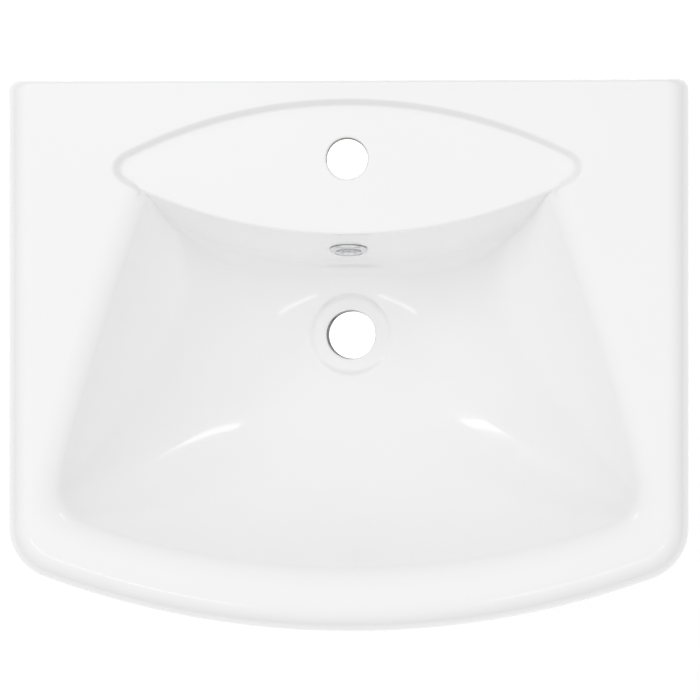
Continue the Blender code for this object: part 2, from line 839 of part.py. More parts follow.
def make_floor_fixing(side, sign, parts):
    """Sleeve, screw and cap in one of the pedestal's foot lugs."""
    x, y = lug_place(sign)
    shank = SCREW / 2
    bore, tube = shank + GAP, shank + GAP + FLOOR_SLEEVE_WALL
    flange = FLOOR_SLEEVE_FLANGE / 2
    flange_top = LUG_THICK + GAP + FLOOR_SLEEVE_FLANGE_THICK
    up = (0, 0, 1)
    turned(
        f"floor_screw_sleeve_{side}",
        [
            (bore, flange_top),
            (flange, flange_top),
            (flange, LUG_THICK + GAP),
            (tube, LUG_THICK + GAP),
            (tube, GAP),
            (bore, GAP),
        ],
        (x, y, 0),
        up,
        NYLON,
        parts,
    )
    head = SCREW_HEAD / 2
    head_z = flange_top + GAP
    crown = head_z + SCREW_HEAD_THICK
    turned(
        f"floor_screw_{side}",
        [
            (0, crown),
            *((head * share, crown - drop) for share, drop in SCREW_HEAD_CURVE),
            (head, head_z + SCREW_HEAD_RIM),
            (head, head_z),
            (shank, head_z),
            (shank, GAP),
            (0, GAP),
        ],
        (x, y, 0),
        up,
        STEEL,
        parts,
    )
    inside, outside = head + 2 * GAP, head + 2 * GAP + CAP_WALL
    ceiling = SCREW_HEAD_THICK + 2 * GAP
    turned(
        f"floor_screw_cap_{side}",
        [
            (0, ceiling + CAP_WALL),
            (outside * SCREW_CAP_FLAT, ceiling + CAP_WALL * CAP_SAG),
            (outside * SCREW_CAP_BEND, ceiling + CAP_WALL * SCREW_CAP_SHOULDER),
            (outside, ceiling - CAP_WALL),
            (outside, 0),
            (inside, 0),
            (inside, ceiling - CAP_WALL),
            (0, ceiling),
        ],
        (x, y, head_z),
        up,
        CAP_PLASTIC,
        parts,
    )


def main():
    clear_scene()
    parts = new_collection("pedestal_sink")
    cutters = new_collection("cutters")
    make_basin(parts, cutters)
    make_pedestal(parts, cutters)
    make_gasket(parts)
    make_overflow_ring(parts)
    for side, sign in (("left", -1), ("right", 1)):
        make_wall_fixing(side, sign, parts, cutters)
        make_floor_fixing(side, sign, parts)


main()
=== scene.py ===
import math

import bpy
import numpy as np
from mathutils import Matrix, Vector


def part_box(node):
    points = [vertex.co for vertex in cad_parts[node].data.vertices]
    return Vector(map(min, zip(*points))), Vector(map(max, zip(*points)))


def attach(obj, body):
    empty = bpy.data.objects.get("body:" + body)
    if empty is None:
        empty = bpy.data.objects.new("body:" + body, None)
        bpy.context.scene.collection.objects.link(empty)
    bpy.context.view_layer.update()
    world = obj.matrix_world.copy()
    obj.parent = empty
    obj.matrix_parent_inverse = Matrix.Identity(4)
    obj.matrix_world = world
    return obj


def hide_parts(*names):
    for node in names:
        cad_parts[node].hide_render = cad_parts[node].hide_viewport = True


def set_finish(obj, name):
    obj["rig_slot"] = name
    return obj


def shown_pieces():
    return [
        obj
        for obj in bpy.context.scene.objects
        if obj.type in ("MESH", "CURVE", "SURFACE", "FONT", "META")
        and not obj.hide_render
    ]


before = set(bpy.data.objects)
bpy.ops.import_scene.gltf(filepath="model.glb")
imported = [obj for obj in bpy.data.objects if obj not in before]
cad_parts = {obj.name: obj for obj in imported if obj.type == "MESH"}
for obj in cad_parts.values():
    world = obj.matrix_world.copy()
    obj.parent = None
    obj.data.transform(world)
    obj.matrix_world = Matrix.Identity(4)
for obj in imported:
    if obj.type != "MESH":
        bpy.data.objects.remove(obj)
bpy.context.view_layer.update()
basinLow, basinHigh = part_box("basin")
pedestalLow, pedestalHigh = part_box("pedestal")
print("frame loaded with", len(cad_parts), "nodes")


def deselectAll():
    if bpy.context.object and bpy.context.object.mode != "OBJECT":
        bpy.ops.object.mode_set(mode="OBJECT")
    for item in list(bpy.context.selected_objects):
        item.select_set(False)
    bpy.context.view_layer.objects.active = None


def makeActive(piece):
    deselectAll()
    piece.select_set(True)
    bpy.context.view_layer.objects.active = piece


def inEditMode(piece, work):
    makeActive(piece)
    bpy.ops.object.mode_set(mode="EDIT")
    bpy.ops.mesh.select_all(action="SELECT")
    work()
    bpy.ops.object.mode_set(mode="OBJECT")


def mergeDoubles(piece, distance=1e-6):
    inEditMode(piece, lambda: bpy.ops.mesh.remove_doubles(threshold=distance))


def faceOutward(piece):
    inEditMode(piece, lambda: bpy.ops.mesh.normals_make_consistent(inside=False))


def applyModifiers(piece):
    makeActive(piece)
    for name in [modifier.name for modifier in piece.modifiers]:
        bpy.ops.object.modifier_apply(modifier=name)


def joinPieces(first, *others):
    makeActive(first)
    for other in others:
        other.select_set(True)
    bpy.ops.object.join()


def applyPlace(piece):
    makeActive(piece)
    bpy.ops.object.transform_apply(location=True, rotation=True, scale=True)


def smoothByAngle(piece, degrees):
    makeActive(piece)
    bpy.ops.object.shade_smooth_by_angle(angle=math.radians(degrees))


def combine(piece, tool, operation="DIFFERENCE"):
    step = piece.modifiers.new("combine", "BOOLEAN")
    step.operation = operation
    step.object = tool
    applyModifiers(piece)
    bpy.data.objects.remove(tool, do_unlink=True)


def bevelEdges(piece, width, degrees=50, segments=3):
    step = piece.modifiers.new("bevel", "BEVEL")
    step.width = width
    step.segments = segments
    step.limit_method = "ANGLE"
    step.angle_limit = math.radians(degrees)
    applyModifiers(piece)


def ringSheet(name, rings, closed=True):
    # a flat grid is laid along rings of points and sewn up where it meets itself
    rings = np.asarray(rings, float)
    if closed:
        rings = np.concatenate([rings, rings[:, :1]], axis=1)
    rows, columns = rings.shape[:2]
    deselectAll()
    bpy.ops.mesh.primitive_grid_add(x_subdivisions=columns - 1, y_subdivisions=rows - 1, size=2)
    piece = bpy.context.object
    piece.name = name
    spots = np.empty(len(piece.data.vertices) * 3)
    piece.data.vertices.foreach_get("co", spots)
    spots = spots.reshape(-1, 3)
    column = np.rint((spots[:, 0] + 1) / 2 * (columns - 1)).astype(int)
    row = np.rint((spots[:, 1] + 1) / 2 * (rows - 1)).astype(int)
    piece.data.vertices.foreach_set("co", rings[row, column].ravel())
    piece.data.update()
    if closed:
        mergeDoubles(piece)
    return piece


def closeUp(piece):
    # fills each open loop with one face, and turns all faces outward
    makeActive(piece)
    bpy.ops.object.mode_set(mode="EDIT")
    bpy.ops.mesh.select_all(action="DESELECT")
    bpy.ops.mesh.select_mode(type="EDGE")
    bpy.ops.mesh.select_non_manifold(extend=False, use_wire=False, use_multi_face=False,
                                     use_non_contiguous=False, use_verts=False)
    bpy.ops.mesh.edge_face_add()
    bpy.ops.mesh.select_mode(type="VERT")
    bpy.ops.object.mode_set(mode="OBJECT")
    faceOutward(piece)


def smoothStep(value):
    value = np.clip(value, 0, 1)
    return value * value * (3 - 2 * value)


def roundedEdge(first, second, radius):
    # signed distance of what two solids share, with its edge rounded over
    return (np.minimum(np.maximum(first, second) + radius, 0) - radius
            + np.hypot(np.maximum(first + radius, 0), np.maximum(second + radius, 0)))


def filletedJoin(first, second, radius):
    # signed distance of two solids together, with a fillet where they meet
    return (np.maximum(np.minimum(first, second) - radius, 0) + radius
            - np.hypot(np.maximum(radius - first, 0), np.maximum(radius - second, 0)))


def alongLine(points, count, crowding=1):
    # evenly spaced points along a polyline, both ends kept
    points = np.asarray(points, float)
    run = np.concatenate([[0], np.cumsum(np.hypot(*np.diff(points[:, :2], axis=0).T))])
    share = np.linspace(0, 1, count) ** crowding
    return np.stack([np.interp(share * run[-1], run, points[:, k]) for k in range(2)], axis=1)


def arcPoints(centre, radius, start, end, count):
    turn = np.linspace(start, end, count)
    return np.stack([centre[0] + radius * np.cos(turn), centre[1] + radius * np.sin(turn)], axis=1)


basin = {
    "rollSide": 0.022,  # rounded outer edge, seen from above
    "rollFront": 0.026,
    "rollBack": 0.005,
    "rollDrop": 0.024,
    "rollCorner": 0.6,  # share of the side roll that the front corners lose at the flat
    "frontArc": 0.755,
    "frontCorner": 0.0465,
    "backCorner": 0.009,
    "apron": 0.060,
    "apronEdge": 0.009,
    "bellyPower": 1.25,
    "bowlFrontInset": 0.048,
    "bowlReach": 0.2155,  # middle to bowl edge, level with the waste
    "bowlTaper": 0.340,
    "bowlSwell": 0.20,
    "bowlFlatten": 0.015,
    "bowlStretch": 1.072,  # makes up for the width that flattening takes
    "bowlCrisp": 16,  # exponents of the corners, at the rim and at the waste
    "bowlSoft": 3,
    "bowlSoftFrom": 0.2,
    "bowlSoftOver": 0.75,
    "bowlBack": 0.162,
    "bowlDepth": 0.132,
    "bowlEdgeRound": 0.0115,
    "wasteFromBack": 0.216,
    "wasteBore": 0.022,
    "recessRadius": 0.035,
    "recessStep": 0.0056,  # width of the step round the drain recess
    "bossRadius": 0.042,
    "bossRound": 0.004,
    "holeLip": 0.002,
    "leafArc": 0.418,
    "leafTipRound": 0.0221,
    "leafRearFromBack": 0.0206,
    "leafFrontFromBack": 0.132,
    "leafDrop": 0.006,
    "leafStep": 0.0065,  # width of the soft step round the ledge
    "leafPush": 0.008,  # how far the sunk leaf runs on past the wall's edge
    "leafPushTo": 0.150,
    "leafPushFade": 0.035,
    "ledgeEdgeRound": 0.0025,
    "footFillet": 0.010,
    "footFilletTo": 0.095,
    "footFilletFade": 0.075,
    "footFilletFrom": 0.004,
    "wallSlope": 5.0,
    "wallSlopeLoss": 22,  # for each metre past the flat middle
    "wallSlopeFlat": 0.020,
    "wallRun": 0.023,  # how far the wall under the ledge leans forward, in all
    "wallDrop": 0.115,
    "tapFromBack": 0.068,
    "tapBore": 0.0175,
    "deck": 0.013,
    "shell": 0.009,
    "pocketTip": 0.013,  # off the ledge's arc, at the ends of the room behind the bowl
    "studSpacing": 0.280,
    "studDrop": 0.085,
    "studHole": 0.0081,
}
rimZ, backY, frontY, halfWidth = basinHigh.z, basinHigh.y, basinLow.y, basinHigh.x
wasteY = backY - basin["wasteFromBack"]
tapY = backY - basin["tapFromBack"]
arcCentreY = frontY + basin["frontArc"]
leafFrontY = backY - basin["leafFrontFromBack"]
leafRearY = backY - basin["leafRearFromBack"]
leafFrontCentre = leafFrontY + basin["leafArc"]
leafRearCentre = leafRearY - basin["leafArc"]
leafMiddle = (leafFrontY + leafRearY) / 2
seatZ = rimZ - basin["bowlDepth"] - 2 * basin["shell"]
apronZ = rimZ - basin["apron"]


def bowlGauge(x, y):
    # 0 at the waste and 1 at the bowl's top edge
    along = y - wasteY
    flatten = basin["bowlFlatten"]
    across = (np.sqrt(x * x + flatten**2) - flatten) * basin["bowlStretch"]
    side = (across + basin["bowlTaper"] * along + basin["bowlSwell"] * along**2) / basin["bowlReach"]
    offset = arcCentreY - wasteY
    front = np.hypot(x, y - arcCentreY) - offset
    front = front / (basin["frontArc"] - basin["bowlFrontInset"] - offset)
    back = along / basin["bowlBack"]
    parts = [np.maximum(part, 0) for part in (side, front, back)]
    crisp, soft = (sum(part**power for part in parts) ** (1 / power)
                   for power in (basin["bowlCrisp"], basin["bowlSoft"]))
    return soft + (crisp - soft) * smoothStep((crisp - basin["bowlSoftFrom"]) / basin["bowlSoftOver"])


def bowlHeight(x, y):
    return -basin["bowlDepth"] * (1 - bowlGauge(x, y) ** 2)


def frontOfLedge(x, y):
    return np.hypot(x, y - leafFrontCentre) - basin["leafArc"]


def leafDistance(x, y, push=0):
    rear = np.hypot(x, y - leafRearCentre) - basin["leafArc"]
    return roundedEdge(frontOfLedge(x, y) - push, rear, basin["leafTipRound"])


def topHeight(x, y):
    # height of the glazed top below the rim, found by halving
    shift = 1e-4
    bowl = bowlHeight(x, y)
    slopeX = (bowlHeight(x + shift, y) - bowl) / shift
    slopeY = (bowlHeight(x, y + shift) - bowl) / shift
    bowlCos = 1 / np.sqrt(1 + slopeX**2 + slopeY**2)
    reach = np.abs(x)
    ahead = frontOfLedge(x, y)
    push = basin["leafPush"] * (1 - smoothStep((reach - basin["leafPushTo"]) / basin["leafPushFade"]))
    inLeaf = smoothStep(0.5 - leafDistance(x, y, push) / basin["leafStep"])
    flat = basin["wallSlopeFlat"]
    slope = basin["wallSlope"] - basin["wallSlopeLoss"] * (np.sqrt(x * x + flat**2) - flat)
    slope = np.maximum(slope, 1.0)
    wallCos = 1 / np.sqrt(1 + slope**2)
    fillet = basin["footFillet"] * (1 - smoothStep((reach - basin["footFilletTo"]) / basin["footFilletFade"]))
    fillet = np.maximum(fillet * smoothStep(ahead / basin["footFilletFrom"]), 1e-5)
    lowest, highest = -0.150, 0.006
    low, high = np.full(x.shape, lowest), np.full(x.shape, highest)
    for _ in range(30):
        z = (low + high) / 2
        deck = roundedEdge(z + basin["leafDrop"] * inLeaf, (z - bowl) * bowlCos, basin["bowlEdgeRound"])
        wall = (ahead * slope + z + basin["leafDrop"]) * wallCos
        ledge = roundedEdge(wall, z + basin["leafDrop"], basin["ledgeEdgeRound"])
        inside = filletedJoin(deck, ledge, fillet) < 0
        low, high = np.where(inside, z, low), np.where(inside, high, z)
    z = (low + high) / 2
    radius = np.hypot(x, y - wasteY)
    step = basin["recessStep"]
    sunk = smoothStep((basin["recessRadius"] + step / 2 - radius) / step)
    return z + (-basin["bowlDepth"] - z) * sunk


def onTop(points):
    x, y = points[:, 0], points[:, 1]
    return np.stack([x, y, rimZ + topHeight(x, y)], axis=1)


def levelSet(measure, centreY, turns, level, far):
    # where rays from (0, centreY) reach a level
    across, along = np.cos(turns), np.sin(turns)
    low, high = np.zeros(turns.shape), np.full(turns.shape, far)
    for _ in range(40):
        middle = (low + high) / 2
        inside = measure(across * middle, centreY + along * middle) < level
        low, high = np.where(inside, middle, low), np.where(inside, high, middle)
    return np.stack([across * low, centreY + along * low], axis=1)


def mirrored(points):
    return points[::-1] * np.array([-1.0, 1.0])


def turnsFrom(centreY, loop):
    # directions from (0, centreY) to a loop's points, in the plan and in space
    away = loop[:, :2] - np.array([0, centreY])
    turn = away / np.hypot(*away.T)[:, None]
    return turn, np.concatenate([turn, np.zeros((len(turn), 1))], axis=1)


def lipRings(centreY, flat, bore, z):
    # the rounded upper edge of a hole
    made = []
    for degrees in range(0, 91, 18):
        swing = math.radians(degrees)
        radius = bore + basin["holeLip"] * (1 - math.sin(swing))
        made.append([0, centreY, 0] + flat * radius + [0, 0, z - basin["holeLip"] * (1 - math.cos(swing))])
    return made


def boreRings(centreY, flat, bore, levels):
    # the hole below that edge, almost closed at its last level
    spots = [(bore, z) for z in levels] + [(0.001, levels[-1])]
    return [[0, centreY, 0] + flat * radius + [0, 0, z] for radius, z in spots]


# right-hand halves of the bowl's edge and of the tap ledge's outline
edgeTurns = np.linspace(-math.pi / 2, 0.9, 4000)
bowlEdge = levelSet(bowlGauge, wasteY, edgeTurns, 1, 0.5)
meeting = int(np.argmax(frontOfLedge(bowlEdge[:, 0], bowlEdge[:, 1]) < 0))
bowlEdge = bowlEdge[: meeting + 1]
cornerPoint = bowlEdge[-1]
leafTurns = np.linspace(-math.pi / 2, math.pi / 2, 8000)
leafEdge = levelSet(leafDistance, leafMiddle, leafTurns, 0, 0.3)
nearest = int(np.argmin(np.hypot(*(leafEdge - cornerPoint).T)))
leafEdge[nearest] = cornerPoint
leafTip = int(np.argmax(leafEdge[:, 0]))
bowlCorner = int(np.argmax(bowlEdge[:, 0] - 0.75 * bowlEdge[:, 1]))
frontCount, sideCount, tipCount, rearCount, ledgeCount = 81, 61, 18, 57, 46
edgeFront = alongLine(bowlEdge[: bowlCorner + 1], frontCount)
edgeSide = alongLine(bowlEdge[bowlCorner:], sideCount)
leafSide = alongLine(leafEdge[nearest: leafTip + 1], tipCount)
leafRear = alongLine(leafEdge[leafTip:], rearCount, 1.4)
leafRear[-1, 0] = 0
leafFront = alongLine(leafEdge[: nearest + 1], ledgeCount)[::-1]
leafFront[-1, 0] = 0
edgeFront[0, 0] = 0
bowlHalf = np.concatenate([edgeFront, edgeSide[1:], leafFront[1:]])
unionHalf = np.concatenate([edgeFront, edgeSide[1:], leafSide[1:], leafRear[1:]])
leafHalf = np.concatenate([leafFront[::-1], leafSide[1:], leafRear[1:]])


def wholeLoop(half):
    # a right-hand half that starts and ends on the middle line, and its mirror image
    return np.concatenate([half, mirrored(half)[1:-1]])


bowlLoop, unionLoop, leafLoop = (wholeLoop(half) for half in (bowlHalf, unionHalf, leafHalf))


def inwardNormals(loop):
    ahead, behind = np.roll(loop, -1, axis=0), np.roll(loop, 1, axis=0)
    tangent = ahead - behind
    tangent /= np.hypot(*tangent.T)[:, None]
    return np.stack([-tangent[:, 1], tangent[:, 0]], axis=1), tangent


def bowlInset():
    # carries the bowl's edge inward: square to the ledge, mitred at its ends, else to the waste
    normal, tangent = inwardNormals(bowlLoop)
    count = len(bowlLoop)
    corner = frontCount + sideCount - 2
    lengths = np.hypot(*(np.roll(bowlLoop, -1, axis=0) - bowlLoop).T)
    travel = np.concatenate([[0], np.cumsum(lengths)])[:-1]
    mitred = normal.copy()
    near = np.zeros(count)
    reach = 0.100
    for spot in (corner, count - corner):
        before = bowlLoop[spot] - bowlLoop[spot - 1]
        after = bowlLoop[(spot + 1) % count] - bowlLoop[spot]
        before, after = before / np.hypot(*before), after / np.hypot(*after)
        bend = math.acos(max(-1, min(1, float(before @ after))))
        shift = math.tan(bend / 2)
        away = travel - travel[spot]
        fade = np.clip(1 - np.abs(away) / reach, 0, 1) ** 2
        near = np.maximum(near, smoothStep(1.15 - np.abs(away) / reach))
        mitred += (np.sign(away) * fade * shift)[:, None] * tangent
        mitred[spot] = np.array([-before[1], before[0]]) - before * shift
    near[corner: count - corner + 1] = 1
    radial = np.array([0, wasteY]) - bowlLoop
    radial /= np.hypot(*radial.T)[:, None]
    return radial + (mitred - radial) * near[:, None]


def bowlRings():
    # down the bowl's edge in millimetres, on to the drain recess, and over its step in radii
    edgeOffsets = (0, 0.25, 0.5, 0.8, 1.2, 1.6, 2.1, 2.7, 3.4, 4.2, 5.2, 6.4, 7.8, 9.4, 11, 12.8,
                   14.6, 16.5, 18.5, 20.5, 22.6, 24.8, 27, 29)
    recessRadii = (0.0405, 0.039, 0.038, 0.0372, 0.0364, 0.0356, 0.0348, 0.034, 0.0332, 0.0322,
                   0.030, 0.027, 0.0245)
    slopeSteps, crowding = 26, 0.35
    direction = bowlInset()
    rings = [bowlLoop + direction * offset / 1000 for offset in edgeOffsets]
    start = rings[-1]
    turn, flat = turnsFrom(wasteY, start)
    waste = np.array([0, wasteY])
    target = waste + turn * basin["bossRadius"]
    for k in range(1, slopeSteps + 1):
        share = k / slopeSteps
        rings.append(start + (target - start) * (share * (1 + crowding - crowding * share)))
    rings += [waste + turn * radius for radius in recessRadii]
    bore, floorZ = basin["wasteBore"], rimZ - basin["bowlDepth"]
    levels = [floorZ - 0.008, floorZ - 0.025, floorZ - 0.045, basinLow.z + 0.012]
    return ([onTop(ring) for ring in rings] + lipRings(wasteY, flat, bore, floorZ)
            + boreRings(wasteY, flat, bore, levels))


def leafRings():
    edgeOffsets = (0, 0.3, 0.7, 1.2, 1.7, 2.2, 2.8, 3.4, 4.0, 4.6)  # in millimetres
    steps = 12
    normal, _ = inwardNormals(leafLoop)
    rings = [leafLoop + normal * offset / 1000 for offset in edgeOffsets]
    start = rings[-1]
    turn, flat = turnsFrom(tapY, start)
    bore, ledgeZ = basin["tapBore"], rimZ - basin["leafDrop"]
    target = np.array([0, tapY]) + turn * (bore + 2 * basin["holeLip"])
    rings += [start + (target - start) * k / steps for k in range(1, steps + 1)]
    levels = [ledgeZ - basin["deck"] * 0.5, ledgeZ - basin["deck"] - 0.004]
    return ([onTop(ring) for ring in rings] + lipRings(tapY, flat, bore, ledgeZ)
            + boreRings(tapY, flat, bore, levels))


def bowedCorner(half, front, radius, corner):
    # centres of the front's arc and of its corner, and the angle where they meet
    middle, run = front + radius, half - corner
    cornerY = middle - math.sqrt((radius - corner) ** 2 - run**2)
    return middle, run, cornerY, math.atan2(cornerY - middle, run)


def outlineHalf(half, front, back, radius, corner):
    # right-hand half of the basin's plan, from the middle of the front to the middle of the back
    arcCount, turnCount, sideSteps, backCount = 71, 21, 84, 13
    middle, run, cornerY, turn = bowedCorner(half, front, radius, corner)
    backCorner = min(basin["backCorner"], half)
    frontLine = arcPoints((0, middle), radius, -math.pi / 2, turn, arcCount)
    frontTurn = arcPoints((run, cornerY), corner, turn, 0, turnCount)
    top = back - backCorner
    rise = np.linspace(0, 1, sideSteps + 1)[1:-1]
    side = np.stack([np.full(rise.shape, half), cornerY + (top - cornerY) * rise], axis=1)
    backTurn = arcPoints((half - backCorner, top), backCorner, 0, math.pi / 2, backCount)
    total = frontCount + sideCount + tipCount + rearCount - 3
    used = arcCount + turnCount - 1 + len(side) + backCount
    share = np.linspace(0, 1, total - used + 1)[1:] ** 1.35
    rear = np.stack([(half - backCorner) * (1 - share), np.full(share.shape, back)], axis=1)
    return np.concatenate([frontLine, frontTurn[1:], side, backTurn, rear])


def atHeight(loop, z):
    return np.concatenate([loop, np.full((len(loop), 1), z)], axis=1)


def outlineAt(half, front, back, radius, corner, z):
    return atHeight(wholeLoop(outlineHalf(half, front, back, radius, corner)), z)


pedestal = {
    "wall": 0.010,
    "waist": 0.090,
    "front": 0.088,
    "rear": 0.150,
    "footFlare": 0.030,
    "footFlareHeight": 0.055,
    "frontFlare": 0.8,  # share of both flares that the front takes
    "headFlare": 0.020,
    "headFlarePower": 5.0,
    "openBack": 0.060,
    "rearCorner": 0.018,
    "corner": 0.052,
    "arcMore": 0.035,
    "seatMargin": 0.010,
    "lugThick": 0.018,
    "lugWidth": 0.044,
    "lugFromRear": 0.034,
    "lugInset": 0.034,
    "lugHole": 0.0053,
    "lugLift": 0.0004,
    "lugRound": 0.003,
    "edgeRound": 0.0018,
}
pedestalHeight = pedestalHigh.z


def pedestalSize(z):
    foot = pedestal["footFlare"] * math.exp(-max(z, 0) / pedestal["footFlareHeight"])
    head = pedestal["headFlare"] * (max(z, 0) / pedestalHeight) ** pedestal["headFlarePower"]
    return pedestal["waist"] + foot + head, -(pedestal["front"] + pedestal["frontFlare"] * (foot + head))


def bellySection(share):
    half, front = pedestalSize(pedestalHeight)
    half, front = half + pedestal["seatMargin"], front - pedestal["seatMargin"]
    edge = basin["apronEdge"]

    def between(start, end):
        return start + (end - start) * share

    return (between(halfWidth - edge, half), between(frontY + edge, front),
            between(basin["frontArc"] - edge, half + pedestal["arcMore"]),
            between(basin["frontCorner"], pedestal["corner"]),
            apronZ - (apronZ - seatZ) * share ** basin["bellyPower"])


def outerRings():
    made = []
    rollStart = None
    deckSteps = 34
    for degrees in np.linspace(0, 90, 17):
        turn = math.radians(degrees)
        inset = 1 - math.sin(turn)
        ring = outlineAt(halfWidth - basin["rollSide"] * inset,
                         frontY + basin["rollFront"] * inset,
                         backY - basin["rollBack"] * inset,
                         basin["frontArc"] - basin["rollFront"] * inset,
                         basin["frontCorner"] - basin["rollSide"] * basin["rollCorner"] * inset,
                         rimZ - basin["rollDrop"] * (1 - math.cos(turn)))
        if rollStart is None:
            rollStart = ring
            for k in range(deckSteps):
                share = (k / deckSteps) ** 1.8
                flat = unionLoop + (ring[:, :2] - unionLoop) * share
                made.append(onTop(flat))
        made.append(ring)
    for degrees in np.linspace(0, 72, 7):
        turn = math.radians(degrees)
        inset = basin["apronEdge"] * (1 - math.cos(turn))
        made.append(outlineAt(halfWidth - inset, frontY + inset, backY, basin["frontArc"] - inset,
                              basin["frontCorner"],
                              apronZ + basin["apronEdge"] * (1 - math.sin(turn))))
    for share in np.linspace(0, 1, 21):
        half, front, radius, corner, z = bellySection(share)
        made.append(outlineAt(half, front, backY, radius, corner, z))
    seat = made[-1]
    _, flat = turnsFrom(wasteY, seat)
    middle = np.array([0, wasteY, 0])
    boss, rounding = basin["bossRadius"], basin["bossRound"]
    shoulder = middle + flat * (boss + rounding) + [0, 0, seatZ]
    for share in (0.03, 0.4, 0.8):
        made.append(seat + (shoulder - seat) * share)
    made.append(shoulder)
    for degrees in (30, 60, 90):
        swing = math.radians(degrees)
        made.append(middle + flat * (boss + rounding * (1 - math.sin(swing)))
                    + [0, 0, seatZ - rounding * (1 - math.cos(swing))])
    foot = basinLow.z
    for lift, radius in ((0.020, boss), (0.003, boss), (0.001, boss - 0.0008),
                         (0, boss - 0.003)):
        made.append(middle + flat * radius + [0, 0, foot + lift])
    return made


def ledgeRadius(z):
    drop = min(max(rimZ - basin["leafDrop"] - z, 0) / basin["wallDrop"], 1)
    return basin["leafArc"] + basin["wallRun"] * drop


def rearPocket():
    # the open room behind the bowl, from under the ledge down through the seat
    shell = basin["shell"]
    topZ = rimZ - basin["leafDrop"] - basin["deck"]
    footZ = rimZ - basin["leafDrop"] - basin["wallDrop"]
    face = backY - shell
    offset = basin["leafArc"] - (leafRearY - leafFrontY) / 2
    tipX = math.sqrt((basin["leafArc"] - basin["pocketTip"]) ** 2 - offset**2)
    rings = []
    levels = [topZ - 0.024 * k for k in range(4)]
    for z in (*levels, footZ, (footZ + seatZ) / 2, seatZ, seatZ - 0.018):
        drop = min(max((apronZ - z) / (apronZ - seatZ), 0), 1)
        reach = min(bellySection(drop ** (1 / basin["bellyPower"]))[0] - shell, tipX) - shell
        radius = ledgeRadius(z) - shell
        turn = math.asin(reach / radius)
        front = arcPoints((0, leafFrontCentre), radius, -math.pi / 2 - turn, -math.pi / 2 + turn, 41)
        rings.append(atHeight(np.concatenate([front, [[reach, face], [-reach, face]]]), z))
    pocket = ringSheet("pocket", rings)
    closeUp(pocket)
    return pocket


def block(name, low, high, bevel):
    deselectAll()
    middle = [(a + b) / 2 for a, b in zip(low, high)]
    size = [b - a for a, b in zip(low, high)]
    bpy.ops.mesh.primitive_cube_add(size=1, location=middle, scale=size)
    piece = bpy.context.object
    piece.name = name
    applyPlace(piece)
    bevelEdges(piece, bevel)
    return piece


def rod(name, radius, start, end, sides=48):
    deselectAll()
    start, end = Vector(start), Vector(end)
    turn = (end - start).to_track_quat("Z", "Y").to_euler()
    bpy.ops.mesh.primitive_cylinder_add(vertices=sides, radius=radius, depth=(end - start).length,
                                        location=(start + end) / 2, rotation=turn)
    piece = bpy.context.object
    piece.name = name
    applyPlace(piece)
    return piece


overflowAt = {
    "drop": 0.057, "bore": 0.013, "channelWidth": 0.030, "gap": 0.012, "wall": 0.008, "aboveFoot": 0.042,
    "channelTop": 0.025, "roomTop": 0.019,  # above the overflow
    "linkFront": 0.030, "linkHeight": 0.015, "footHeight": 0.0115,  # the link to the waste hole
    "holeFront": 0.009, "holeBack": 0.015, "tuck": 0.001, "clear": 0.0005,
}
overflowZ = rimZ - overflowAt["drop"]
overflowMouth = Vector((0, leafFrontCentre - ledgeRadius(overflowZ), overflowZ))
overflowOut = Vector((0, -basin["wallDrop"], basin["wallRun"])).normalized()


def turnedPiece(name, profile, base, direction, sides, thread=None):
    # a profile of (radius, height) turned about a line; one that starts off the line is closed
    profile = list(profile)
    solid = profile[0][0] == 0
    if not solid:
        profile.append(profile[0])
    turns = np.linspace(0, 2 * math.pi, sides, endpoint=False)
    rings = []
    for radius, height in profile:
        grow = np.zeros(sides)
        if thread and thread["from"] < height < thread["to"]:
            wave = (height / thread["pitch"] - turns / (2 * math.pi)) % 1
            grow = -thread["depth"] * np.abs(2 * wave - 1)
        rings.append(np.stack([(radius + grow) * np.cos(turns), (radius + grow) * np.sin(turns),
                               np.full(sides, height)], axis=1))
    piece = ringSheet(name, rings)
    piece.rotation_euler = Vector(direction).to_track_quat("Z", "Y").to_euler()
    piece.location = base
    applyPlace(piece)
    faceOutward(piece)
    smoothByAngle(piece, 35)
    return piece


holeEdges = {"waste": 0.0026, "wasteDepth": 0.008, "tap": 0.0022, "tapDepth": 0.006, "inside": 0.0003,
             "above": 0.012}


def softHole(piece, name, y, z):
    # rounds the upper edge of a hole that is already there
    radius, rounding = basin[name + "Bore"] - holeEdges["inside"], holeEdges[name]
    above, below = holeEdges["above"], -holeEdges[name + "Depth"]
    bend = [math.radians(angle) for angle in range(0, 91, 15)]
    profile = [(0, above), (radius + rounding, above)]
    profile += [(radius + rounding * (1 - math.sin(a)), -rounding * (1 - math.cos(a))) for a in bend]
    profile += [(radius, below), (0, below)]
    combine(piece, turnedPiece("softEdge", profile, (0, y, z), (0, 0, 1), 96))


def channelBody(name, half, frontMore, back, low, high):
    # a duct whose front leans with the wall
    rings = []
    for z in (low, high):
        front = overflowMouth.y + frontMore + (z - overflowZ) / basin["wallSlope"]
        rings.append([(-half, front, z), (half, front, z), (half, back, z), (-half, back, z)])
    piece = ringSheet(name, rings)
    closeUp(piece)
    bevelEdges(piece, 0.002, 40, 2)
    return piece


